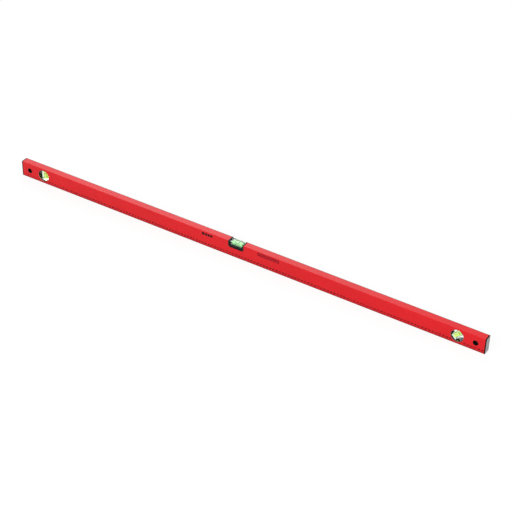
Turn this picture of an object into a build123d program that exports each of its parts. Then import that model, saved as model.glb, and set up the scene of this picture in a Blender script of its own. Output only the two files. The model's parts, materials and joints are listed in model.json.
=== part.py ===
"""Box-section spirit level, 1500 mm long.

A top-reading vial sits in a notch at the middle, a plumb vial in a round window near the left end, and a
45 degree vial in a round window near the right end. Each vial holds an air bubble that slides along its bore.

Frame: +X along the level, +Y from the front face to the back face, +Z up. The origin is under the middle of the
level, on its flat measuring edge. All sizes are in millimetres and all angles in degrees.
"""

import os
from dataclasses import dataclass
from math import cos, radians, sin, sqrt

from build123d import *

# ---------------------------------------------------------------- overall sizes
level_length = 1500.0
level_height = 48.0
level_width = 22.0

# ---------------------------------------------------------------- aluminium box profile
web_wall = 1.6  # front and back walls
flange_wall = 2.2  # top and bottom walls
profile_edge_radius = 1.0
profile_inner_radius = 0.5

# ---------------------------------------------------------------- end caps and pads
cap_flange = 3.1  # outside the profile
cap_corner_radius = 1.2
cap_plug_length = 15.0
cap_plug_wall = 1.8
cap_plug_gap = 0.1
pad_proud = 0.4
pad_pocket_depth = 1.9
pad_inset = 0.9  # rim of the cap that shows round the pad
pad_gap = 0.05
pad_edge_radius = 0.35
pad_groove_width = 1.2
pad_groove_depth = 0.5
pad_groove_offset = 2.0
stud_radius = 2.0
stud_gap = 0.05
stud_spacing = 22.0
stud_past_flange = 2.0

# ---------------------------------------------------------------- hang holes
hang_from_end = 29.0
hang_above_middle = 0.5
hang_hole_radius = 7.8
bush_gap = 0.05
bush_bore_radius = 6.5
bush_recess = 0.1
bush_mouth_chamfer = 0.5

# ---------------------------------------------------------------- windows and their housings
window_from_end = 80.4
window_above_middle = 0.5
window_radius = 18.5
housing_gap = 0.05
housing_wall = 1.0
housing_recess = 1.2  # below the face of the level
cradle_setback = 0.9  # the cradles stand back from the mouth of the housing
cradle_grip = 1.2  # length of the vial's end that a cradle covers
corner_cover = 0.75  # left of the housing outside the corners of the vial's block
tongue_length = 1.5
tongue_gap = 0.04

# ---------------------------------------------------------------- centre notch and frame
notch_length = 50.4
notch_depth = 20.2
notch_corner_radius = 8.0
frame_gap = 0.1
frame_wall = 3.7
frame_floor = 2.0
frame_recess = 0.1
frame_cavity_radius = 3.0
boss_setback = 1.6  # the end bosses stand back from the faces of the frame
boss_grip = 0.8  # length of the vial's end that a boss covers
boss_top_drop = 6.0
boss_backing = 2.4  # from the end of the vial to the wall of the frame
seat_drop = 14.0  # from the top edge to the step that the vial stands on
seat_rim = 2.8  # height of the step's rims, which hold the foot of the vial
tenon_depth = 2.4
tenon_length = 32.0
tenon_gap = 0.2

# ---------------------------------------------------------------- vials
seat_gap = 0.08
block_chamfer = 0.4
centre_block_depth = 17.0
centre_block_top_drop = 0.5
centre_bore_drop = 7.0
centre_bore_radius = 5.6
centre_vial_end = 4.0  # solid acrylic, or the plug, past each end of the liquid
window_block_width = 15.0
window_block_depth = 16.0
window_bore_radius = 4.6
window_vial_end = 3.5
angle_vial_tilt = 45.0

plug_gap = 0.05
plug_recess = 0.3
ring_width = 1.0
ring_thickness = 0.3
ring_gap = 0.04
fluid_gap = 0.05

# ---------------------------------------------------------------- bubbles
bubble_radius = 3.0
bubble_length = 9.0
bubble_gap = 0.3  # clear space kept round the bubble over its travel
bubble_skin = 0.35  # liquid left above the bubble's channel, and at its ends
ring_clear = 0.5  # from an end of the centred bubble to the ring beside it

# ---------------------------------------------------------------- sizes worked out from those above
profile_length = level_length - 2 * (cap_flange + pad_proud)
inner_width = level_width - 2 * web_wall
inner_height = level_height - 2 * flange_wall
mid_height = level_height / 2
window_x = level_length / 2 - window_from_end
window_height = mid_height + window_above_middle
hang_x = level_length / 2 - hang_from_end
hang_height = mid_height + hang_above_middle
housing_radius = window_radius - housing_gap
housing_inner_radius = housing_radius - housing_wall
housing_half_depth = level_width / 2 - housing_recess
window_block_length = 2 * sqrt((housing_radius - corner_cover) ** 2 - (window_block_width / 2) ** 2)
notch_floor = level_height - notch_depth
frame_half_length = notch_length / 2 - frame_gap
frame_bottom = notch_floor + frame_gap
frame_floor_top = frame_bottom + frame_floor
frame_half_depth = level_width / 2 - frame_recess
cavity_half_length = frame_half_length - frame_wall
seat_height = level_height - seat_drop
centre_bore_height = level_height - centre_bore_drop
centre_block_length = 2 * (cavity_half_length - boss_backing)
ring_offset = bubble_length / 2 + ring_clear

os.makedirs("parts", exist_ok=True)


def save(part, name):
    """Labels a finished piece and writes it as one STEP file."""
    part.label = name
    export_step(part, f"parts/{name}.step")


# ================================================================ profile, caps, pads and bushes
with BuildPart() as beam_profile:
    with BuildSketch(Plane.YZ.offset(-profile_length / 2)):
        with Locations((0, mid_height)):
            RectangleRounded(level_width, level_height, profile_edge_radius)
            RectangleRounded(inner_width, inner_height, profile_inner_radius, mode=Mode.SUBTRACT)
    extrude(amount=profile_length)
    # notch in the top edge, windows and hang holes, all through both walls
    with BuildSketch(Plane.XZ) as notch:
        with Locations((0, notch_floor)):
            Rectangle(notch_length, level_height, align=(Align.CENTER, Align.MIN))
        fillet(notch.vertices().group_by(Axis.Y)[0], radius=notch_corner_radius)
    extrude(amount=level_width, both=True, mode=Mode.SUBTRACT)
    with BuildSketch(Plane.XZ):
        with Locations((-window_x, window_height), (window_x, window_height)):
            Circle(window_radius)
        with Locations((-hang_x, hang_height), (hang_x, hang_height)):
            Circle(hang_hole_radius)
    extrude(amount=level_width, both=True, mode=Mode.SUBTRACT)
save(beam_profile.part, "beam_profile")


def end_plane(side, inset):
    """Plane across the level, facing outwards at one end; side is -1 for left and 1 for right."""
    x = side * (level_length / 2 - inset)
    return Plane(origin=(x, 0, mid_height), x_dir=(0, 1, 0), z_dir=(side, 0, 0))


def stud_places():
    """Places of the two studs, in the plane of the end face."""
    return GridLocations(0, stud_spacing, 1, 2)


def make_end_cap(side):
    """Black cap: a flange outside the profile, a hollow plug inside it, and a pocket for the pad."""
    outer = end_plane(side, pad_proud)
    joint = end_plane(side, pad_proud + cap_flange)
    plug_width = inner_width - 2 * cap_plug_gap
    plug_height = inner_height - 2 * cap_plug_gap
    with BuildPart() as cap:
        with BuildSketch(outer):
            RectangleRounded(level_width, level_height, cap_corner_radius)
        extrude(amount=-cap_flange)
        with BuildSketch(joint):
            RectangleRounded(plug_width, plug_height, profile_inner_radius)
            Rectangle(plug_width - 2 * cap_plug_wall, plug_height - 2 * cap_plug_wall, mode=Mode.SUBTRACT)
            Rectangle(plug_width, cap_plug_wall)
        extrude(amount=-cap_plug_length)
        with BuildSketch(outer):
            Rectangle(level_width - 2 * pad_inset, level_height - 2 * pad_inset)
        extrude(amount=-pad_pocket_depth, mode=Mode.SUBTRACT)
        with BuildSketch(outer):
            with stud_places():
                Circle(stud_radius + stud_gap)
        extrude(amount=-(cap_flange + stud_past_flange), mode=Mode.SUBTRACT)
    return cap.part


def make_end_pad(side):
    """Grey rubber pad with two studs that press into the cap."""
    face = end_plane(side, 0)
    seat = end_plane(side, pad_proud + pad_pocket_depth)
    pad_width = level_width - 2 * (pad_inset + pad_gap)
    pad_height = level_height - 2 * (pad_inset + pad_gap)
    with BuildPart() as pad:
        with BuildSketch(face):
            Rectangle(pad_width, pad_height)
        extrude(amount=-(pad_proud + pad_pocket_depth))
        fillet(pad.faces().sort_by(Axis.X)[-1 if side > 0 else 0].edges(), radius=pad_edge_radius)
        with BuildSketch(face):
            with Locations((pad_groove_offset, 0)):
                Rectangle(pad_groove_width, pad_height)
        extrude(amount=-pad_groove_depth, mode=Mode.SUBTRACT)
        with BuildSketch(seat):
            with stud_places():
                Circle(stud_radius)
        extrude(amount=-(cap_flange - pad_pocket_depth + stud_past_flange - stud_gap))
    return pad.part


def make_hang_bush(side):
    """Black sleeve through both walls, with a bore for a hook or nail."""
    mouth = level_width / 2 - bush_recess
    with BuildPart() as bush:
        with BuildSketch(Plane.XZ.offset(-mouth)):
            with Locations((side * hang_x, hang_height)):
                Circle(hang_hole_radius - bush_gap)
                Circle(bush_bore_radius, mode=Mode.SUBTRACT)
        extrude(amount=2 * mouth)
        mouth_edges = bush.edges().filter_by(GeomType.CIRCLE).group_by(SortBy.RADIUS)[0]
        chamfer(mouth_edges, length=bush_mouth_chamfer)
    return bush.part


for side, hand in ((-1, "left"), (1, "right")):
    save(make_end_cap(side), f"end_cap_{hand}")
    save(make_end_pad(side), f"end_pad_{hand}")
    save(make_hang_bush(side), f"hang_bush_{hand}")


# ================================================================ vials
@dataclass
class Vial:
    """One vial. Its plane faces the front: local x runs along the bore, and local y across it."""

    name: str
    plane: Plane
    block_length: float
    block_over: float  # from the bore's axis to the block's face on the local +y side
    block_under: float
    block_depth: float
    bore_radius: float
    liquid_length: float
    bubble_at: float  # rest place of the bubble's middle along the bore, -1 to 1 of its travel
    bubble_lift: float  # how far the bubble rises off the bore's axis towards local +y, 0 to 1

    @property
    def fluid_radius(self):
        return self.bore_radius - fluid_gap

    @property
    def travel(self):
        """How far the bubble's middle can go from the middle of the bore, each way."""
        return self.liquid_length / 2 - fluid_gap - bubble_skin - bubble_gap - bubble_length / 2

    @property
    def rise(self):
        """Height of the bubble's path over the bore's axis."""
        return self.bubble_lift * (self.fluid_radius - bubble_radius - bubble_gap - bubble_skin)

    def across(self, along):
        """Plane square to the bore at a distance along it, facing along the bore."""
        return Plane(
            origin=self.plane.from_local_coords((along, 0, 0)),
            x_dir=self.plane.z_dir,
            z_dir=self.plane.x_dir,
        )

    def path_plane(self, along):
        """Plane of the vial, moved so that its origin is on the bubble's path."""
        return Plane(
            origin=self.plane.from_local_coords((along, self.rise, 0)),
            x_dir=self.plane.x_dir,
            z_dir=self.plane.z_dir,
        )


def vial_plane(x, z, tilt):
    """Plane in the middle of the level's width, facing the front, with local x turned up by tilt."""
    direction = (cos(radians(tilt)), 0, sin(radians(tilt)))
    return Plane(origin=(x, 0, z), x_dir=direction, z_dir=(0, -1, 0))


centre_vial = Vial(
    name="centre_vial",
    plane=vial_plane(0, centre_bore_height, 0),
    block_length=centre_block_length,
    block_over=level_height - centre_block_top_drop - centre_bore_height,
    block_under=centre_bore_height - seat_height - seat_gap,
    block_depth=centre_block_depth,
    bore_radius=centre_bore_radius,
    liquid_length=centre_block_length - 2 * centre_vial_end,
    bubble_at=0,
    bubble_lift=1,
)
plumb_vial = Vial(
    name="plumb_vial",
    plane=vial_plane(-window_x, window_height, 90),
    block_length=window_block_length,
    block_over=window_block_width / 2,
    block_under=window_block_width / 2,
    block_depth=window_block_depth,
    bore_radius=window_bore_radius,
    liquid_length=window_block_length - 2 * window_vial_end,
    bubble_at=1,
    bubble_lift=0,
)
angle_vial = Vial(
    name="angle_vial",
    plane=vial_plane(window_x, window_height, angle_vial_tilt),
    block_length=window_block_length,
    block_over=window_block_width / 2,
    block_under=window_block_width / 2,
    block_depth=window_block_depth,
    bore_radius=window_bore_radius,
    liquid_length=window_block_length - 2 * window_vial_end,
    bubble_at=1,
    bubble_lift=1,
)


def make_vial_body(vial):
    """Clear acrylic block with a blind bore, closed at the local -x end."""
    with BuildPart() as body:
        with BuildSketch(vial.plane):
            with Locations((0, (vial.block_over - vial.block_under) / 2)):
                Rectangle(vial.block_length, vial.block_over + vial.block_under)
        extrude(amount=vial.block_depth / 2, both=True)
        chamfer(body.edges(), length=block_chamfer)
        with BuildSketch(vial.across(-vial.liquid_length / 2)):
            Circle(vial.bore_radius)
        extrude(amount=vial.block_length, mode=Mode.SUBTRACT)
    return body.part


def make_vial_plug(vial):
    """Clear disc that closes the bore."""
    start = vial.liquid_length / 2
    with BuildPart() as plug:
        with BuildSketch(vial.across(start)):
            Circle(vial.bore_radius - plug_gap)
        extrude(amount=vial.block_length / 2 - start - plug_recess)
    return plug.part


def make_vial_rings(vial):
    """Two black reading rings against the wall of the bore."""
    outer = vial.bore_radius - ring_gap
    with BuildPart() as rings:
        for along in (-ring_offset, ring_offset):
            with BuildSketch(vial.across(along - ring_width / 2)):
                Circle(outer)
                Circle(outer - ring_thickness, mode=Mode.SUBTRACT)
            extrude(amount=ring_width)
    return rings.part


def capsule_sketch(length, radius):
    """Half of a capsule's outline, to be turned about local x."""
    SlotOverall(length, 2 * radius)
    with Locations((0, -radius)):
        Rectangle(2 * length, 2 * radius, mode=Mode.SUBTRACT)


def make_vial_fluid(vial):
    """Liquid, with grooves for the rings and a clear channel over the bubble's whole travel."""
    path = vial.path_plane(0)
    channel_length = bubble_length + 2 * (vial.travel + bubble_gap)
    with BuildPart() as fluid:
        with BuildSketch(vial.across(fluid_gap - vial.liquid_length / 2)):
            Circle(vial.fluid_radius)
        extrude(amount=vial.liquid_length - 2 * fluid_gap)
        for along in (-ring_offset, ring_offset):
            with BuildSketch(vial.across(along - ring_width / 2 - ring_gap)):
                Circle(vial.bore_radius)
                Circle(vial.bore_radius - ring_thickness - 2 * ring_gap, mode=Mode.SUBTRACT)
            extrude(amount=ring_width + 2 * ring_gap, mode=Mode.SUBTRACT)
        with BuildSketch(path):
            capsule_sketch(channel_length, bubble_radius + bubble_gap)
        revolve(axis=Axis(path.origin, path.x_dir), mode=Mode.SUBTRACT)
    return fluid.part


def make_vial_bubble(vial):
    """Air bubble, a round-ended slug on its path along the bore."""
    path = vial.path_plane(vial.bubble_at * vial.travel)
    with BuildPart() as bubble:
        with BuildSketch(path):
            capsule_sketch(bubble_length, bubble_radius)
        revolve(axis=Axis(path.origin, path.x_dir))
    return bubble.part


for vial in (centre_vial, plumb_vial, angle_vial):
    save(make_vial_body(vial), f"{vial.name}_body")
    save(make_vial_plug(vial), f"{vial.name}_plug")
    save(make_vial_rings(vial), f"{vial.name}_rings")
    save(make_vial_fluid(vial), f"{vial.name}_fluid")
    save(make_vial_bubble(vial), f"{vial.name}_bubble")


# ================================================================ centre frame
boss_half_depth = frame_half_depth - boss_setback
pocket_half_length = centre_block_length / 2 + seat_gap
boss_inner = centre_block_length / 2 - boss_grip
boss_outer = cavity_half_length + frame_gap  # a little inside the frame's wall, so that the two join
boss_middle = (boss_inner + boss_outer) / 2
boss_length = boss_outer - boss_inner
boss_bottom = frame_floor_top - frame_gap
boss_top = level_height - boss_top_drop
rim_top = seat_height + seat_rim

with BuildPart() as centre_frame:
    with BuildSketch(Plane.XZ) as outline:
        with Locations((0, frame_bottom)):
            Rectangle(2 * frame_half_length, level_height - frame_bottom, align=(Align.CENTER, Align.MIN))
        fillet(outline.vertices().group_by(Axis.Y)[0], radius=notch_corner_radius - frame_gap)
    extrude(amount=frame_half_depth, both=True)
    with BuildSketch(Plane.XZ) as cavity:
        with Locations((0, frame_floor_top)):
            Rectangle(2 * cavity_half_length, level_height, align=(Align.CENTER, Align.MIN))
        fillet(cavity.vertices().group_by(Axis.Y)[0], radius=frame_cavity_radius)
    extrude(amount=level_width, both=True, mode=Mode.SUBTRACT)
    # bosses that close round the ends of the vial, and the step with rims that it stands in
    with BuildSketch(Plane.XZ):
        for side in (-1, 1):
            with Locations((side * boss_middle, boss_bottom)):
                Rectangle(boss_length, boss_top - boss_bottom, align=(Align.CENTER, Align.MIN))
        with Locations((0, boss_bottom)):
            Rectangle(2 * cavity_half_length, rim_top - boss_bottom, align=(Align.CENTER, Align.MIN))
    extrude(amount=boss_half_depth, both=True)
    with BuildSketch(Plane.XZ):
        with Locations((0, seat_height)):
            Rectangle(2 * pocket_half_length, level_height, align=(Align.CENTER, Align.MIN))
    extrude(amount=centre_block_depth / 2 + seat_gap, both=True, mode=Mode.SUBTRACT)
    # tenon under the floor, between the two walls of the profile
    with BuildSketch(Plane.XZ):
        with Locations((0, frame_bottom - tenon_depth)):
            Rectangle(tenon_length, tenon_depth + frame_gap, align=(Align.CENTER, Align.MIN))
    extrude(amount=inner_width / 2 - tenon_gap, both=True)
save(centre_frame.part, "centre_frame")


# ================================================================ window housings
def make_window_housing(vial, facing):
    """Half of a round housing; facing is 1 for the front half and -1 for the back half.

    The two halves meet at mid depth, where a tongue on the front half enters a groove in the back half.
    Flat cradles at both ends of the vial close over its ends.
    """
    cradle_edge = vial.block_length / 2 - cradle_grip
    tongue_radius = housing_inner_radius + housing_wall / 2
    with BuildPart() as half:
        with BuildSketch(vial.plane):
            Circle(housing_radius)
        extrude(amount=facing * housing_half_depth)
        if facing > 0:
            with BuildSketch(vial.plane):
                Circle(tongue_radius - tongue_gap)
                Circle(housing_inner_radius, mode=Mode.SUBTRACT)
            extrude(amount=-tongue_length)
        else:
            with BuildSketch(vial.plane):
                Circle(tongue_radius)
                Circle(housing_inner_radius - tongue_gap, mode=Mode.SUBTRACT)
            extrude(amount=facing * (tongue_length + tongue_gap), mode=Mode.SUBTRACT)
        with BuildSketch(vial.plane.offset(facing * housing_half_depth)):
            Circle(housing_inner_radius)
        extrude(amount=-facing * cradle_setback, mode=Mode.SUBTRACT)
        with BuildSketch(vial.plane):
            Circle(housing_inner_radius)
            Rectangle(2 * cradle_edge, 2 * housing_radius, mode=Mode.INTERSECT)
        extrude(amount=facing * housing_half_depth, mode=Mode.SUBTRACT)
        with BuildSketch(vial.plane):
            Rectangle(vial.block_length + 2 * seat_gap, vial.block_over + vial.block_under + 2 * seat_gap)
        extrude(amount=vial.block_depth / 2 + seat_gap, both=True, mode=Mode.SUBTRACT)
    return half.part


for vial, window in ((plumb_vial, "plumb"), (angle_vial, "angle")):
    save(make_window_housing(vial, 1), f"{window}_housing_front")
    save(make_window_housing(vial, -1), f"{window}_housing_back")
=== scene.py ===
# %% [markdown]
# # A red box-section spirit level
# The real tool is an aluminium tube, powder coated red, with a bubble vial in a notch at the middle and
# another in a round window near each end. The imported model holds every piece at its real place, in
# metres. This script keeps those places, gives the pieces softened edges and real finishes, and adds
# the printing, the light and the camera.

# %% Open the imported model
import json
import math

import bmesh
import bpy
from mathutils import Matrix, Vector


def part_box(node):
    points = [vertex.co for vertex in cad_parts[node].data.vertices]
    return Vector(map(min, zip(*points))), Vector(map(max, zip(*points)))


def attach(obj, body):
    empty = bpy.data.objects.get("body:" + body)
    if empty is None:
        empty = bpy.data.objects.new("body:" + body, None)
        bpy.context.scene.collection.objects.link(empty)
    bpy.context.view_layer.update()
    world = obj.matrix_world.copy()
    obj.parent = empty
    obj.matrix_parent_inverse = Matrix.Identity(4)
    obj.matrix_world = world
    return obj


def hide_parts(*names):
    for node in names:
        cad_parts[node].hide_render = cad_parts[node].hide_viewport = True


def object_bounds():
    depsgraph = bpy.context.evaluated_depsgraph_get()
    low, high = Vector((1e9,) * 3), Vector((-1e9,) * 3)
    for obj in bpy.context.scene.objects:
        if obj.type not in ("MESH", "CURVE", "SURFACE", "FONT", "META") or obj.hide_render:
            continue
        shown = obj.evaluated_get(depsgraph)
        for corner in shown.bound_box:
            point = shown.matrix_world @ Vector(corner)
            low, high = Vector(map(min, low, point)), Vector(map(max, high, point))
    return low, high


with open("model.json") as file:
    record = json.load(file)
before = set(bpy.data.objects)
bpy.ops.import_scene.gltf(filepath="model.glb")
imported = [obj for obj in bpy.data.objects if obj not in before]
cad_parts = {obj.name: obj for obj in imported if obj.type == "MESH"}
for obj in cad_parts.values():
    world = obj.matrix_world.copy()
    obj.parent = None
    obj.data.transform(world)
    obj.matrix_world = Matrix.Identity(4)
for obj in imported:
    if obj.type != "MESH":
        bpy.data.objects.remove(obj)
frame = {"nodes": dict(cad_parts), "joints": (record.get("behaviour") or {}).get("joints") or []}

mm = 0.001
cad_bounds = [list(corner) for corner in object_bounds()]
nodes = frame["nodes"]
scene = bpy.context.scene
level_low, level_high = (Vector(corner) for corner in cad_bounds)
level_length = level_high.x - level_low.x
front_face = level_low.y
back_face = -front_face
level_top = level_high.z
print("pieces:", len(nodes), "level:", [round(side / mm, 1) for side in level_high - level_low], "mm")

# %% [markdown]
# ## The camera
# A long lens from a little above flattens the perspective, as in a catalogue picture. The camera could
# be aimed with a Track To constraint, but three angles say its direction exactly: yaw turns it, pitch
# tips it down, and roll leans it. The helper works out the camera's own right, up and backward
# directions from them.

# %% Place the camera
camera_at = Vector((1.7187, -2.7324, 2.3353))
camera_yaw = 0.5459
camera_pitch = 0.6263
camera_roll = 0.0263
camera_lens = 101.8


def camera_turn(yaw, pitch, roll):
    """Rotation of a camera that looks along yaw and pitch, in radians, with its top leaning by roll."""
    look = Vector((-math.sin(yaw) * math.cos(pitch), math.cos(yaw) * math.cos(pitch), -math.sin(pitch)))
    level_side = Vector((math.cos(yaw), math.sin(yaw), 0))
    level_up = level_side.cross(look)
    right = math.cos(roll) * level_side + math.sin(roll) * level_up
    up = -math.sin(roll) * level_side + math.cos(roll) * level_up
    return Matrix((right, up, -look)).transposed().to_4x4()


camera_data = bpy.data.cameras.new("camera")
camera_data.lens = camera_lens
camera = bpy.data.objects.new("camera", camera_data)
scene.collection.objects.link(camera)
camera.matrix_world = Matrix.Translation(camera_at) @ camera_turn(camera_yaw, camera_pitch, camera_roll)
scene.camera = camera
print("camera", round((camera_at - (level_low + level_high) / 2).length, 2), "m from the middle of the level")

# %% [markdown]
# ## Small helpers for shader nodes
# A material is a graph of nodes. A few short helpers keep the graphs readable: they add a node and fill
# its sockets, start a material with a Principled shader, and give noise, sums, blends and a fine bump.


# %% Shader helpers
def add_node(tree, kind, values=(), **settings):
    """Adds a shader node. values pairs an input's name or number with a plain value or another output."""
    node = tree.nodes.new("ShaderNode" + kind)
    for name, setting in settings.items():
        setattr(node, name, setting)
    for socket, value in values:
        if isinstance(value, bpy.types.NodeSocket):
            tree.links.new(value, node.inputs[socket])
        else:
            node.inputs[socket].default_value = value
    return node


def new_material(name, **inputs):
    """A material with one Principled shader. Keywords are its sockets, with _ for a space."""
    material = bpy.data.materials.new(name)
    material.use_nodes = True
    tree = material.node_tree
    shader = tree.nodes["Principled BSDF"]
    for socket, value in inputs.items():
        shader.inputs[socket.replace("_", " ")].default_value = value
    place = add_node(tree, "TexCoord").outputs["Object"]
    return material, tree, shader, place


def noise(tree, place, scale, stretch=(1, 1, 1), detail=3.0):
    """Noise on the piece's own coordinates, with scale in waves per metre before the stretch."""
    mapping = add_node(tree, "Mapping", [("Vector", place), ("Scale", stretch)])
    inputs = [("Vector", mapping.outputs[0]), ("Scale", scale), ("Detail", detail)]
    return add_node(tree, "TexNoise", inputs).outputs["Fac"]


def spread(tree, value, low, high, from_low=0.3, from_high=0.7):
    """Maps a value onto a range; the default ends are those of a noise."""
    ends = (("From Min", from_low), ("From Max", from_high), ("To Min", low), ("To Max", high))
    return add_node(tree, "MapRange", [("Value", value), *ends]).outputs[0]


def combine(tree, operation, first, second):
    """One Math node on two outputs or numbers."""
    return add_node(tree, "Math", [(0, first), (1, second)], operation=operation).outputs[0]


def blend_colours(tree, share, first, second):
    """Mixes two colours, each a plain RGBA or an output, by a share from 0 to 1."""
    node = add_node(tree, "Mix", data_type="RGBA")
    for socket, value in ((0, share), (6, first), (7, second)):
        if isinstance(value, bpy.types.NodeSocket):
            tree.links.new(value, node.inputs[socket])
        else:
            node.inputs[socket].default_value = value
    return node.outputs[2]


def bump(tree, shader, height, depth):
    """Roughens the shader's normal by a height map; depth is in metres."""
    node = add_node(tree, "Bump", [("Height", height), ("Distance", depth), ("Strength", 1.0)])
    tree.links.new(node.outputs[0], shader.inputs["Normal"])


print("helpers ready")

# %% [markdown]
# ## Floor and background
# The level lies on a white sweep. Turning up the lamps until the floor clips to white would wash the
# red out, so the white is only shown to the eye: the Light Path node tells a ray that comes straight
# from the camera, or by way of gloss or glass, from a ray that carries light from surface to surface.
# Those first rays find the floor mostly glowing white, with enough plain white paint left for the
# level's shadow to show.

# %% Make the floor and the world
floor_glow = 0.85  # share of the floor that glows for the rays that see it
floor_grey = (0.5, 0.5, 0.5, 1)  # what the floor throws back on the level
floor_white = (1, 1, 1, 1)
floor_size = 15
sky_strength = 0.62


def rays_that_see(tree):
    """1 for camera, glossy and transmission rays, and 0 for the rest."""
    path = add_node(tree, "LightPath").outputs
    seen = combine(tree, "MAXIMUM", path["Is Camera Ray"], path["Is Transmission Ray"])
    return combine(tree, "MAXIMUM", seen, path["Is Glossy Ray"])


floor_mesh = bpy.data.meshes.new("floor")
floor_work = bmesh.new()
bmesh.ops.create_grid(floor_work, x_segments=1, y_segments=1, size=floor_size)
floor_work.to_mesh(floor_mesh)
floor_work.free()
floor = bpy.data.objects.new("floor", floor_mesh)
scene.collection.objects.link(floor)
floor_paint, floor_tree, floor_shader, _ = new_material("floor_paint", Roughness=1.0, Specular_IOR_Level=0.0)
floor_seen = rays_that_see(floor_tree)
floor_colour = blend_colours(floor_tree, floor_seen, floor_grey, floor_white)
floor_tree.links.new(floor_colour, floor_shader.inputs["Base Color"])
floor_share = combine(floor_tree, "MULTIPLY", floor_seen, floor_glow)
floor_light = add_node(floor_tree, "Emission").outputs[0]
floor_ends = [(0, floor_share), (1, floor_shader.outputs[0]), (2, floor_light)]
floor_mix = add_node(floor_tree, "MixShader", floor_ends).outputs[0]
floor_tree.links.new(floor_mix, floor_tree.nodes["Material Output"].inputs[0])
floor_mesh.materials.append(floor_paint)

world = bpy.data.worlds.new("studio")
scene.world = world
world.use_nodes = True
sky = world.node_tree
sky_level = spread(sky, rays_that_see(sky), sky_strength, 1.0, 0.0, 1.0)
sky.nodes["Background"].inputs["Color"].default_value = (1, 1, 1, 1)
sky.links.new(sky_level, sky.nodes["Background"].inputs["Strength"])
scene.view_settings.view_transform = "Standard"
print("floor and sky ready")

# %% [markdown]
# ## Lamps
# Three soft area lamps do the rest. The key lamp stands in front and lights the printed face. The strip
# lamp hangs behind, where the top face mirrors it towards the camera, and it lays the pale sheen along
# the top that tells the eye the coat is satin. A small lamp at the right lifts the grey pad on the end.


# %% Hang the lamps
def hang_lamp(name, at, target, width, height, power):
    """A rectangular soft lamp that points at a target."""
    data = bpy.data.lights.new(name, "AREA")
    data.shape = "RECTANGLE"
    data.size = width
    data.size_y = height
    data.energy = power
    lamp = bpy.data.objects.new(name, data)
    scene.collection.objects.link(lamp)
    turn = (Vector(target) - Vector(at)).to_track_quat("-Z", "Y").to_matrix().to_4x4()
    lamp.matrix_world = Matrix.Translation(at) @ turn
    print(name, power, "W,", width, "by", height, "m")


hang_lamp("key_lamp", (-0.4, -3.2, 2.2), (0, 0, 0), 2.6, 2.0, 80)
hang_lamp("strip_lamp", (-1.8, 2.5, 2.2), (-0.2, 0, 0.05), 2.4, 1.6, 38)
hang_lamp("end_lamp", (2.5, -1.2, 1.3), (0.75, 0, 0.02), 0.8, 0.8, 18)

# %% [markdown]
# ## Powder coat
# Powder coat is satin paint, baked on. Close up it has a fine orange-peel skin. Along the two long back
# edges of the tube, a near-black band is painted into the colour. It is painted shade, for edges that
# face away from the lamps. The orange peel is small noise in the bump. The shade band is worked out from
# how far a point is from the tube's corners, because the tube is the same all along its length, so no
# painted texture map is needed.

# %% Red coat
coat_red = (0.70, 0.0065, 0.012, 1)
coat_deep = (0.64, 0.005, 0.010, 1)
# painted shade: the near-black colour of the back corners
coat_painted_shade = (0.06, 0.002, 0.004, 1)
shade_band = 2.0 * mm


def corner_share(tree, place):
    """1 on the tube's two long back corners, falling to 0 within the band of painted shade."""
    parts = add_node(tree, "SeparateXYZ", [(0, place)]).outputs
    middle = combine(tree, "SUBTRACT", parts["Z"], level_top / 2)
    upright = add_node(tree, "Math", [(0, middle)], operation="ABSOLUTE").outputs[0]
    near_back = spread(tree, parts["Y"], 0.0, 1.0, back_face - shade_band, back_face)
    near_top = spread(tree, upright, 0.0, 1.0, level_top / 2 - shade_band, level_top / 2)
    both = combine(tree, "MULTIPLY", near_back, near_top)
    return spread(tree, both, 0.0, 1.0, 0.0, 0.45)


def make_red_coat():
    """Satin red with faint clouds of a deeper red, and painted shade darkening the two long back corners."""
    material, tree, shader, place = new_material("red_powder_coat", Specular_IOR_Level=0.26)
    clouds = spread(tree, noise(tree, place, 9, detail=4), 0.0, 1.0)
    face = blend_colours(tree, clouds, coat_red, coat_deep)
    # painted shade: along the back corners the coat turns near-black, for edges that face away from the lamps
    painted_shade_mask = combine(tree, "MULTIPLY", corner_share(tree, place), noise(tree, place, 60, (0.3, 1, 1)))
    share = spread(tree, painted_shade_mask, 0.0, 0.97, 0.01, 0.22)
    tree.links.new(blend_colours(tree, share, face, coat_painted_shade), shader.inputs["Base Color"])
    tree.links.new(spread(tree, noise(tree, place, 240), 0.36, 0.44), shader.inputs["Roughness"])
    bump(tree, shader, noise(tree, place, 700, detail=2), 0.03 * mm)
    return material


red_coat = make_red_coat()
print(red_coat.name)

# %% [markdown]
# ## Bare aluminium
# The windows, the notch and the hang holes are milled after coating, so their cut rims are bare metal,
# with fine turning marks. Noise that is stretched along one direction gives such marks.


# %% Cut metal
def make_cut_metal():
    """Bare metal whose colour and roughness follow the marks of the cutter."""
    material, tree, shader, place = new_material("cut_aluminium", Metallic=1.0)
    marks = noise(tree, place, 500, (1, 8, 1))
    colour = blend_colours(tree, marks, (0.80, 0.80, 0.81, 1), (0.92, 0.92, 0.93, 1))
    tree.links.new(colour, shader.inputs["Base Color"])
    tree.links.new(spread(tree, marks, 0.28, 0.42), shader.inputs["Roughness"])
    bump(tree, shader, marks, 0.01 * mm)
    return material


cut_metal = make_cut_metal()
print(cut_metal.name)

# %% [markdown]
# ## Black plastic and grey rubber
# The frame is moulded with a spark-eroded texture, which is a fine matte grain. The caps and bushes are
# duller, and the housings are polished inside. The end pads are softer, with a little chalky bloom. All
# share one recipe with different numbers.


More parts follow.
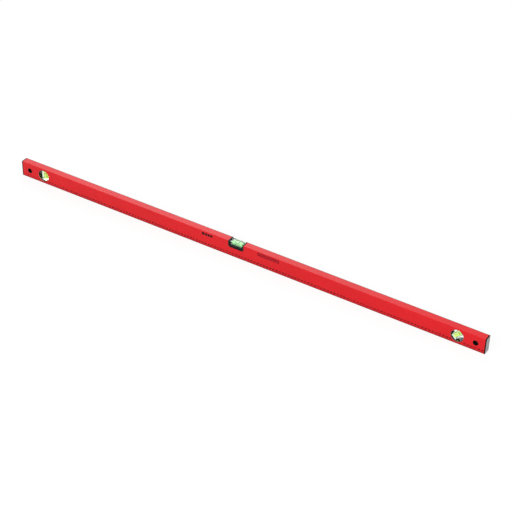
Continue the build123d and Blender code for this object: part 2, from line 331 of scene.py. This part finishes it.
# %% Moulded finishes
def make_moulded(name, dark, light, grain, depth, smooth, rough, specular):
    """A grained plastic or rubber. grain is in waves per metre and depth in metres."""
    material, tree, shader, place = new_material(name, Specular_IOR_Level=specular)
    bloom = spread(tree, noise(tree, place, 55, detail=4), 0.0, 1.0)
    tree.links.new(blend_colours(tree, bloom, dark, light), shader.inputs["Base Color"])
    skin = noise(tree, place, grain, detail=2)
    tree.links.new(spread(tree, skin, smooth, rough), shader.inputs["Roughness"])
    bump(tree, shader, skin, depth)
    return material


black_plastic = make_moulded(
    "black_plastic", (0.004, 0.004, 0.004, 1), (0.007, 0.007, 0.007, 1), 1400, 0.03 * mm, 0.45, 0.58, 0.24
)
dull_plastic = make_moulded(
    "dull_plastic", (0.003, 0.003, 0.003, 1), (0.005, 0.005, 0.005, 1), 1400, 0.03 * mm, 0.50, 0.62, 0.06
)
gloss_plastic = make_moulded(
    "gloss_plastic", (0.004, 0.004, 0.004, 1), (0.006, 0.006, 0.006, 1), 300, 0.0, 0.03, 0.07, 0.5
)
grey_rubber = make_moulded(
    "grey_rubber", (0.36, 0.36, 0.357, 1), (0.43, 0.43, 0.427, 1), 900, 0.05 * mm, 0.70, 0.90, 0.35
)
ring_ink = make_moulded(
    "ring_black", (0.008, 0.008, 0.008, 1), (0.012, 0.012, 0.012, 1), 2500, 0.0, 0.2, 0.3, 0.5
)
print(black_plastic.name, dull_plastic.name, gloss_plastic.name, grey_rubber.name, ring_ink.name)

# %% [markdown]
# ## Clear acrylic, liquid and air
# A renderer treats glass as opaque to lamps, which would leave the liquid inside in the dark. So each
# clear finish lets shadow rays and soft light pass by a Transparent shader, picked by the Light Path
# node. The liquid is dyed a bright yellow-green. Some of it is plain scatter and a faint emission, a
# painted glow that brightens it though it is no lamp, and the rest is clear tinted glass. The centre
# vial's liquid is painted darker towards the bottom, as painted shade from its dark seat.


# %% Clear finishes
def let_light_through(tree, shader_output, tint):
    """Swaps the shader for a plain tinted opening when the ray carries light."""
    path = add_node(tree, "LightPath").outputs
    light = combine(tree, "MAXIMUM", path["Is Shadow Ray"], path["Is Diffuse Ray"])
    opening = add_node(tree, "BsdfTransparent", [("Color", tint)]).outputs[0]
    mixed = add_node(tree, "MixShader", [(0, light), (1, shader_output), (2, opening)]).outputs[0]
    tree.links.new(mixed, tree.nodes["Material Output"].inputs[0])


def make_clear(name, colour, ior, transmission, shadow_tint, painted_glow=0.0, painted_shade_colour=None, low=0.0, high=1.0):
    """A clear or dyed finish with faint ripples and a painted glow, which turns to the painted shade colour
    from height high to low.
    """
    material, tree, shader, place = new_material(
        name, Base_Color=colour, IOR=ior, Transmission_Weight=transmission, Emission_Color=colour,
        # painted glow: an emission that brightens the liquid, though it is no lamp
        Emission_Strength=painted_glow,
    )
    if painted_shade_colour:
        # painted shade: the colour darkens towards the bottom of the vial
        height = add_node(tree, "SeparateXYZ", [(0, place)]).outputs["Z"]
        mixed = blend_colours(tree, spread(tree, height, 0.0, 1.0, low, high), painted_shade_colour, colour)
        tree.links.new(mixed, shader.inputs["Base Color"])
        tree.links.new(mixed, shader.inputs["Emission Color"])
    tree.links.new(spread(tree, noise(tree, place, 160), 0.01, 0.05), shader.inputs["Roughness"])
    let_light_through(tree, shader.outputs[0], shadow_tint)
    return material


acrylic_ior = 1.49
liquid_ior = 1.36
bubble_ior = 1 / 1.45  # a little under 1 / liquid_ior, for a firmer outline
# painted light: the acrylic's faint green tint stands for green light from the liquid spread through the
# block
acrylic = make_clear("clear_acrylic", (0.84, 0.97, 0.87, 1), acrylic_ior, 1.0, (0.92, 0.97, 0.92, 1))
# the last number of each liquid is its painted glow, an emission standing in for light
window_liquid = make_clear(
    "yellow_green_liquid", (0.80, 0.95, 0.22, 1), liquid_ior, 0.88, (0.88, 0.96, 0.45, 1), 0.24
)
# painted shade: the centre liquid darkens towards its bottom, over its dark seat
centre_liquid = make_clear(
    "green_liquid", (0.60, 0.97, 0.50, 1), liquid_ior, 0.88, (0.7, 0.97, 0.7, 1), 0.22,
    painted_shade_colour=(0.14, 0.60, 0.26, 1), low=level_top - 12.2 * mm, high=level_top - 8.0 * mm,
)


def make_air():
    """Air inside liquid: the ratio of their refractive indexes is below one."""
    material = bpy.data.materials.new("air_bubble")
    material.use_nodes = True
    tree = material.node_tree
    tree.nodes.remove(tree.nodes["Principled BSDF"])
    inputs = [("Color", (1, 1, 0.97, 1)), ("Roughness", 0.0), ("IOR", bubble_ior)]
    glass = add_node(tree, "BsdfGlass", inputs)
    let_light_through(tree, glass.outputs[0], (1, 1, 1, 1))
    return material


air = make_air()
print(acrylic.name, window_liquid.name, centre_liquid.name, air.name)

# %% [markdown]
# ## Softening the moulded pieces
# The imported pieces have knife-sharp edges, which no real part has, and light never catches on a sharp
# edge. Each visible piece is copied, its loose triangles are merged, flat areas are dissolved into
# single faces, and only the sharp edges are bevelled by a fraction of a millimetre. The copy then
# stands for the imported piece.

# %% Soft-edged copies
merge_distance = 0.001 * mm
flat_angle = math.radians(0.5)
sharp_angle = math.radians(30)


def show(name, mesh, body, replaced, materials):
    """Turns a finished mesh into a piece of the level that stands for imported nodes."""
    piece = bpy.data.objects.new(name, mesh)
    scene.collection.objects.link(piece)
    mesh.materials.clear()
    for material in materials:
        mesh.materials.append(material)
    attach(piece, body)
    if replaced:
        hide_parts(*replaced)
    return piece


def smooth_faces(mesh):
    """Shades round surfaces smooth and keeps the corners crisp."""
    for face in mesh.polygons:
        face.use_smooth = True
    mesh.set_sharp_from_angle(angle=sharp_angle)


def soft_edged_copy(node, width):
    """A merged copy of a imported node's mesh, with its sharp edges bevelled."""
    mesh = nodes[node].data.copy()
    work = bmesh.new()
    work.from_mesh(mesh)
    bmesh.ops.remove_doubles(work, verts=work.verts, dist=merge_distance)
    bmesh.ops.dissolve_limit(work, angle_limit=flat_angle, verts=work.verts, edges=work.edges)
    sharp = [edge for edge in work.edges if edge.is_manifold and edge.calc_face_angle() > sharp_angle]
    if width:
        bmesh.ops.bevel(
            work,
            geom=sharp,
            offset=width,
            offset_type="OFFSET",
            segments=2,
            profile=0.5,
            affect="EDGES",
            clamp_overlap=True,
            material=-1,
        )
    open_edges = sum(not edge.is_manifold for edge in work.edges)
    for face in work.faces:
        face.material_index = 0
    work.to_mesh(mesh)
    work.free()
    smooth_faces(mesh)
    print(node, "faces", len(mesh.polygons), "open edges", open_edges)
    return mesh


def soften(node, width, material):
    """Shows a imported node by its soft-edged copy."""
    piece = show(node + "_finish", soft_edged_copy(node, width), "level", [node], [material])
    keep_flats = piece.modifiers.new("keep_flats", "WEIGHTED_NORMAL")
    keep_flats.keep_sharp = True
    return piece


# %% Soften the plastic and rubber
for side in ("left", "right"):
    soften(f"end_cap_{side}", 0.25 * mm, dull_plastic)
    soften(f"end_pad_{side}", 0.2 * mm, grey_rubber)
    soften(f"hang_bush_{side}", 0.12 * mm, dull_plastic)
soften("centre_frame", 0.25 * mm, black_plastic)
for window in ("plumb", "angle"):
    for half in ("front", "back"):
        soften(f"{window}_housing_{half}", 0.12 * mm, gloss_plastic)

# %% [markdown]
# ## The tube
# The tube gets the same treatment, and two finishes on one mesh. The side walls keep their coat, and so
# do the top and bottom faces outside. The rest is bare metal: the rims of the cut-outs, which all stand
# square to the front face, and the top and bottom of the inside.

# %% Coat the tube
tube = soften("beam_profile", 0.15 * mm, red_coat)
tube.data.materials.append(cut_metal)
coated, bare = 0, 1
skin_depth = 1.725 * mm  # just past the side walls
edge_depth = 1.1 * mm  # half of the top and bottom walls
least_facing = 0.2  # share of a face's normal that points out of the wall
cut_faces = 0
for face in tube.data.polygons:
    middle = face.center
    on_side = abs(middle.y) > back_face - skin_depth and abs(face.normal.y) > least_facing
    on_edge = middle.z < edge_depth or middle.z > level_top - edge_depth
    on_edge = on_edge and abs(face.normal.z) > least_facing
    face.material_index = coated if on_side or on_edge else bare
    cut_faces += face.material_index
print("coated faces", len(tube.data.polygons) - cut_faces, "bare faces", cut_faces)

# %% [markdown]
# ## The vials
# Each vial is an acrylic block with a bore, a plug, two rings, liquid and a bubble. Where two clear
# bodies touch, a thin gap would flash like a mirror, so the liquid and the plug are made a hair larger
# than the bore and overlap its wall. A cylinder from one operator is enough for them, turned from
# upright to the vial's own direction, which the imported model's joint gives. The bubble is a sphere with
# its halves drawn apart.

# %% Rods and bubbles
def centre_of(node):
    """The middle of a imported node's box."""
    low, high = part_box(node)
    return (low + high) / 2


def size_of(node):
    """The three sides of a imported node's box."""
    low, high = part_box(node)
    return high - low


def bmesh_piece(name, work, body, slot, replaced, material):
    """Finishes a bmesh as a smooth piece."""
    bmesh.ops.recalc_face_normals(work, faces=work.faces)
    mesh = bpy.data.meshes.new(name)
    work.to_mesh(mesh)
    work.free()
    smooth_faces(mesh)
    print(name, "faces", len(mesh.polygons))
    return show(name, mesh, body, replaced, [material])


def rod(name, middle, direction, radius, length, edge, **keywords):
    """A closed cylinder along a direction, with a small bevel round its ends."""
    work = bmesh.new()
    bmesh.ops.create_cone(work, cap_ends=True, segments=64, radius1=radius, radius2=radius, depth=length)
    rims = [side for side in work.edges if side.calc_face_angle() > sharp_angle]
    bmesh.ops.bevel(work, geom=rims, offset=edge, segments=3, profile=0.5, affect="EDGES", material=-1)
    turn = direction.to_track_quat("Z", "Y").to_matrix().to_4x4()
    bmesh.ops.transform(work, matrix=Matrix.Translation(middle) @ turn, verts=work.verts)
    return bmesh_piece(name, work, **keywords)


def slug(name, middle, direction, radius, length, **keywords):
    """A round-ended bubble: a sphere whose two halves are drawn apart."""
    work = bmesh.new()
    bmesh.ops.create_uvsphere(work, u_segments=48, v_segments=24, radius=radius)
    for sign in (-1, 1):
        half = [corner for corner in work.verts if corner.co.z * sign > merge_distance]
        bmesh.ops.translate(work, verts=half, vec=(0, 0, sign * (length / 2 - radius)))
    turn = direction.to_track_quat("Z", "Y").to_matrix().to_4x4()
    bmesh.ops.transform(work, matrix=Matrix.Translation(middle) @ turn, verts=work.verts)
    return bmesh_piece(name, work, **keywords)


# %% [markdown]
# ## Reading rings
# The real rings are thin black bands pressed against the wall of the bore, and the bubble is read
# between them. An open cylinder gives the band, and the solidify operator its wall. They sit a hair
# into the acrylic, so that the liquid doesn't hide them.


# %% Ring helper
ring_width = 1.0 * mm
ring_thickness = 0.3 * mm
ring_lift = 0.2 * mm


def ring_pair(name, middle, direction, radius, spacing, **keywords):
    """Two flat reading rings: short open cylinders, each given a wall inwards."""
    work = bmesh.new()
    for sign in (-1, 1):
        made = bmesh.ops.create_cone(
            work, cap_ends=False, segments=64, radius1=radius, radius2=radius, depth=ring_width,
            matrix=Matrix.Translation((0, 0, sign * spacing / 2)),
        )
        band = {face for corner in made["verts"] for face in corner.link_faces}
        bmesh.ops.solidify(work, geom=list(band), thickness=ring_thickness)
    turn = direction.to_track_quat("Z", "Y").to_matrix().to_4x4()
    bmesh.ops.transform(work, matrix=Matrix.Translation(middle) @ turn, verts=work.verts)
    return bmesh_piece(name, work, **keywords)


# %% [markdown]
# ## Putting a vial together
# The box of a piece that leans at 45 degrees doesn't give its length, so the leaning vial takes its
# sizes from the upright one, which is the same size. Only the bubble rides on a body of its own.

# %% Build the vials
joint_axes = {joint["child"]: Vector(joint["axis"]) for joint in frame["joints"]}
bore_gap = 0.05 * mm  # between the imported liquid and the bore
overlap = 0.03 * mm


def build_vial(vial, sized_as, liquid_slot, liquid_material):
    """All of one vial. sized_as is a vial of the same size that lies along a main axis."""
    direction = joint_axes[f"{vial}_bubble"].normalized()
    lie = joint_axes[f"{sized_as}_bubble"]
    fluid_size, bubble_size, plug_size, rings_size = (
        size_of(f"{sized_as}_vial_{piece}") for piece in ("fluid", "bubble", "plug", "rings")
    )
    radius = fluid_size.y / 2 + bore_gap + overlap
    length = abs(fluid_size.dot(lie)) + 2 * (bore_gap + overlap)
    block = show(
        f"{vial}_vial_block", soft_edged_copy(f"{vial}_vial_body", 0), "level",
        [f"{vial}_vial_body"], [acrylic],
    )
    rod(
        f"{vial}_vial_liquid", centre_of(f"{vial}_vial_fluid"), direction, radius, length, 0.6 * mm,
        body="level", slot=liquid_slot, replaced=[f"{vial}_vial_fluid"], material=liquid_material,
    )
    rod(
        f"{vial}_vial_stopper", centre_of(f"{vial}_vial_plug"), direction, radius,
        abs(plug_size.dot(lie)), 0.2 * mm,
        body="level", slot="clear_acrylic", replaced=[f"{vial}_vial_plug"], material=acrylic,
    )
    slug(
        f"{vial}_air_bubble", centre_of(f"{vial}_vial_bubble"), direction, bubble_size.y / 2,
        abs(bubble_size.dot(lie)),
        body=f"{vial}_bubble", slot="air", replaced=[f"{vial}_vial_bubble"], material=air,
    )
    ring_pair(
        f"{vial}_vial_lines", centre_of(f"{vial}_vial_rings"), direction, radius + ring_lift,
        abs(rings_size.dot(lie)) - ring_width,
        body="level", slot="ring_black", replaced=[f"{vial}_vial_rings"], material=ring_ink,
    )
    return block


centre_block = build_vial("centre", "centre", "vial_liquid_centre", centre_liquid)
build_vial("plumb", "plumb", "vial_liquid", window_liquid)
build_vial("angle", "plumb", "vial_liquid", window_liquid)

# %% [markdown]
# ## Glue and painted shade under the centre vial
# The centre vial's underside is painted dark grey-green, standing for the dark glue that holds it down
# and for painted shade under the liquid, both seen through the clear block. Its underside is one large
# flat face, so that face takes a second material.

# %% Paint glue and shade under the centre vial
glue_and_painted_shade = make_moulded(
    "glue_and_painted_shade", (0.060, 0.066, 0.055, 1), (0.085, 0.092, 0.078, 1), 300, 0.0, 0.5, 0.7, 0.2
)
centre_block.data.materials.append(glue_and_painted_shade)
# painted shade and glue: the large underside face turns dark grey-green
underside_area = 100 * mm * mm
for face in centre_block.data.polygons:
    if face.normal.z < -0.9 and face.area > underside_area:
        face.material_index = 1
print("glue_and_shade faces", sum(face.material_index for face in centre_block.data.polygons))

# %% [markdown]
# ## The printed rule
# A millimetre rule runs along the lower edge of the front face: a short tick each millimetre, a longer
# one at five, the longest at ten, with a number beside it. Ink could be a texture, but geometry stays
# sharp at any distance. Each tick is a cube squeezed to a bar, half sunk in the face, and each number
# is a text object turned into a mesh. All of them join one piece.

# %% Ink and print helpers
ink_height = 0.02 * mm
digit_share = 0.70  # height of a digit where the font's size is 1
number_weight = 0.26 * mm  # how much the strokes grow on each side
widest_number = 2.3  # in digits; a longer number is squeezed


def make_ink(name, colour, rough):
    """Screen-printed ink, a little thinner in places."""
    material, tree, shader, place = new_material(name, Specular_IOR_Level=0.1)
    thin = tuple(min(1.0, part * 1.6) for part in colour[:3]) + (1,)
    cover = spread(tree, noise(tree, place, 1800, detail=2), 0.0, 1.0, 0.35, 0.8)
    tree.links.new(blend_colours(tree, cover, colour, thin), shader.inputs["Base Color"])
    shader.inputs["Roughness"].default_value = rough
    return material


black_ink = make_ink("black_ink", (0.012, 0.003, 0.004, 1), 0.5)
dark_red_ink = make_ink("dark_red_ink", (0.25, 0.006, 0.013, 1), 0.45)


def print_bar(work, x_middle, z_low, width, height):
    """Adds one bar of ink to the front face."""
    centre = Vector((x_middle, front_face, z_low + height / 2))
    size = Matrix.Diagonal((width, 2 * ink_height, height, 1))
    bmesh.ops.create_cube(work, size=1, matrix=Matrix.Translation(centre) @ size)


def print_disc(work, x_middle, z_middle, radius):
    """Adds one round spot of ink to the front face."""
    turn = Matrix.Translation((x_middle, front_face, z_middle)) @ Matrix.Rotation(math.radians(90), 4, "X")
    bmesh.ops.create_cone(
        work, cap_ends=True, segments=48, radius1=radius, radius2=radius, depth=2 * ink_height, matrix=turn
    )


def print_number(work, number, x_middle, z_low, height):
    """Adds a number to the front face, as a thin slab of ink."""
    text = bpy.data.curves.new("number", "FONT")
    text.body = str(number)
    text.align_x = "CENTER"
    text.size = height / digit_share
    text.extrude = ink_height
    text.offset = number_weight
    text.resolution_u = 2
    holder = bpy.data.objects.new("number", text)
    mesh = bpy.data.meshes.new_from_object(holder)
    stand = Matrix.Rotation(math.radians(90), 4, "X")
    squeeze = Matrix.Diagonal((min(1.0, widest_number / len(text.body)), 1, 1, 1))
    mesh.transform(Matrix.Translation((x_middle, front_face, z_low)) @ stand @ squeeze)
    work.from_mesh(mesh)
    bpy.data.objects.remove(holder)
    bpy.data.curves.remove(text)
    bpy.data.meshes.remove(mesh)


def finish_print(name, work, material):
    """Closes the ink shapes and shows them as one piece."""
    bmesh.ops.remove_doubles(work, verts=work.verts, dist=merge_distance)
    bmesh.ops.dissolve_degenerate(work, edges=work.edges, dist=merge_distance)
    bmesh.ops.recalc_face_normals(work, faces=work.faces)
    mesh = bpy.data.meshes.new(name)
    work.to_mesh(mesh)
    work.free()
    print(name, "faces", len(mesh.polygons))
    return show(name, mesh, "level", [], [material])


# %% Print the rule
tick_width = 0.52 * mm
tick_foot = 0.9 * mm
tick_heights = {1: 2.8 * mm, 5: 4.2 * mm, 10: 5.6 * mm}
number_height = 4.4 * mm
number_foot = 6.9 * mm
number_shift = 1.6 * mm
print_margin = 6 * mm
window_clear = 3.5 * mm
window_places = [
    (centre_of(f"{window}_housing_front"), size_of(f"{window}_housing_front").x / 2)
    for window in ("plumb", "angle")
]


def beside_window(x, z):
    """True where a number would run into one of the round windows."""
    return any(
        math.hypot(x - place.x, z - place.z) < radius + window_clear for place, radius in window_places
    )


rule = bmesh.new()
for step in range(1, round(level_length / mm)):
    x = level_low.x + step * mm
    if abs(x) > level_high.x - print_margin:
        continue
    kind = 10 if step % 10 == 0 else 5 if step % 5 == 0 else 1
    print_bar(rule, x, tick_foot, tick_width, tick_heights[kind])
    if kind == 10 and not beside_window(x + number_shift, number_foot + number_height):
        print_number(rule, step // 10, x + number_shift, number_foot, number_height)
finish_print("rule_print", rule, black_ink)

# %% [markdown]
# ## The plain printing
# Makers print a name and a line of words on the front face. Here two generic marks take their places: a
# disc with three squares, in black, and two rows of dashes in a darker red.

# %% Print the marks
emblem = bmesh.new()
emblem_left = -112 * mm
emblem_low = 34.5 * mm
emblem_height = 9.6 * mm
square = 7.4 * mm
square_gap = 1.3 * mm
print_disc(emblem, emblem_left + emblem_height / 2, emblem_low + emblem_height / 2, emblem_height / 2)
for count in range(3):
    x = emblem_left + emblem_height + square_gap + square / 2 + count * (square + square_gap)
    print_bar(emblem, x, emblem_low + (emblem_height - square) / 2, square, square)
finish_print("emblem_print", emblem, black_ink)

# %% Print the dashes
dashes = bmesh.new()
dash_left = 69 * mm
dash_right = 139 * mm
dash_gap = 0.7 * mm
dash_height = 4.8 * mm
dash_rows = {40.2 * mm: (9, 6, 12, 7, 10), 34.4 * mm: (12, 8, 6, 11, 9)}  # foot of the row, lengths in mm
for row_low, lengths in dash_rows.items():
    x = dash_left
    count = 0
    while x < dash_right - dash_gap:
        length = min(lengths[count % len(lengths)] * mm, dash_right - x)
        print_bar(dashes, x + length / 2, row_low, length, dash_height)
        x += length + dash_gap
        count += 1
finish_print("dash_print", dashes, dark_red_ink)
